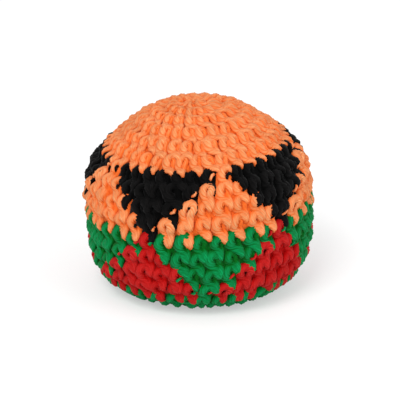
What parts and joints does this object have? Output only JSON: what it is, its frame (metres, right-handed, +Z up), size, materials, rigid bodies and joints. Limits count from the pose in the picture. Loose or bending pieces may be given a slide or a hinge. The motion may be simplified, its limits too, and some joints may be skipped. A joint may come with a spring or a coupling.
{
  "type": "crocheted footbag",
  "caption": "Soft round footbag crocheted in rounds, with bands of triangles in contrasting cotton yarns, filled with loose plastic pellets.",
  "frame": {"origin": "middle of the round footprint, on the surface that the bag rests on", "axes": "+Z up through the crown's closing knot; -Y towards the viewer of the picture, +X to the viewer's right"},
  "size_m": [0.056, 0.0558, 0.0471],
  "materials": {
    "orange_yarn": "matt mercerised cotton yarn in single crochet",
    "black_yarn": "matt mercerised cotton yarn in single crochet",
    "green_yarn": "matt mercerised cotton yarn in single crochet",
    "red_yarn": "matt mercerised cotton yarn in single crochet",
    "pellets": "semi-gloss off-white plastic"
  },
  "bodies": {
    "root": {"orange_crown": "orange_yarn", "closing_knot": "orange_yarn", "black_triangle_1": "black_yarn", "black_triangle_2": "black_yarn", "black_triangle_3": "black_yarn", "black_triangle_4": "black_yarn", "black_triangle_5": "black_yarn", "orange_triangle_1": "orange_yarn", "orange_triangle_2": "orange_yarn", "orange_triangle_3": "orange_yarn", "orange_triangle_4": "orange_yarn", "orange_triangle_5": "orange_yarn", "red_triangle_1": "red_yarn", "red_triangle_2": "red_yarn", "red_triangle_3": "red_yarn", "red_triangle_4": "red_yarn", "red_triangle_5": "red_yarn", "green_triangle_1": "green_yarn", "green_triangle_2": "green_yarn", "green_triangle_3": "green_yarn", "green_triangle_4": "green_yarn", "green_triangle_5": "green_yarn", "green_base": "green_yarn", "starting_ring": "green_yarn", "pellet_fill": "pellets"}
  },
  "joints": []
}
